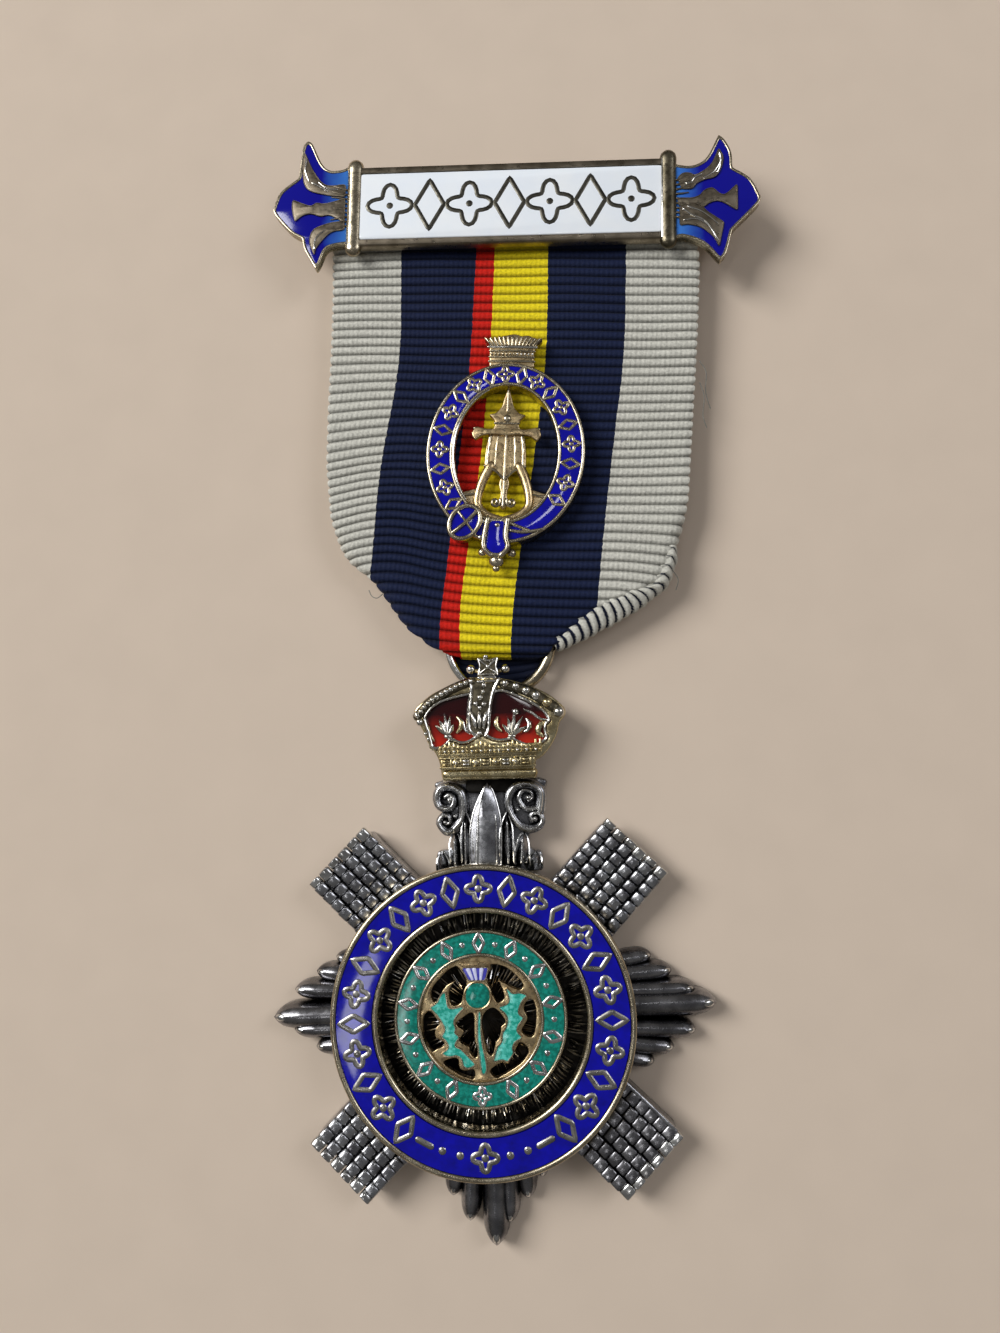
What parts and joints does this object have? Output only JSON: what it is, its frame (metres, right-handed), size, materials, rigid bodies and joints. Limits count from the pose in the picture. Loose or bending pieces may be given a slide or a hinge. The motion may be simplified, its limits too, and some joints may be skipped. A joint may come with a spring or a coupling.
{
  "type": "steward medal",
  "caption": "Breast jewel lying face up: enamelled star with crown on a ring, corded ribbon with a belt badge, and a brooch bar with fleur-de-lis ends.",
  "frame": {"origin": "middle of the star's flat back, on the surface it lies on", "axes": "+Y up the jewel from the star to the bar, +X to the right seen from the front, +Z out of its face"},
  "size_m": [0.0488, 0.1049, 0.0052],
  "materials": {
    "oxidised_silver": "satin",
    "silver_gilt": "satin",
    "bright_gilt": "polished",
    "blue_enamel": "gloss",
    "green_enamel": "gloss",
    "violet_enamel": "gloss",
    "turquoise_enamel": "gloss",
    "red_enamel": "gloss",
    "white_enamel": "gloss",
    "ribbon_silk": "woven"
  },
  "bodies": {
    "root": {"star_body": "oxidised_silver", "blue_ring_frame": "silver_gilt", "blue_ring_enamel": "blue_enamel", "medallion_frame": "silver_gilt", "medallion_enamel": "green_enamel", "thistle_bloom": "violet_enamel", "thistle_stem": "turquoise_enamel", "thistle_leaf_left": "turquoise_enamel", "thistle_leaf_right": "turquoise_enamel", "crown_frame": "bright_gilt", "crown_enamel_left": "red_enamel", "crown_enamel_right": "red_enamel", "jump_ring": "bright_gilt", "ribbon": "ribbon_silk", "badge_frame": "silver_gilt", "badge_enamel": "blue_enamel", "bar_frame": "silver_gilt", "bar_enamel": "white_enamel", "fleur_enamel_left": "blue_enamel", "fleur_enamel_right": "blue_enamel", "brooch_pin": "silver_gilt"}
  },
  "joints": []
}
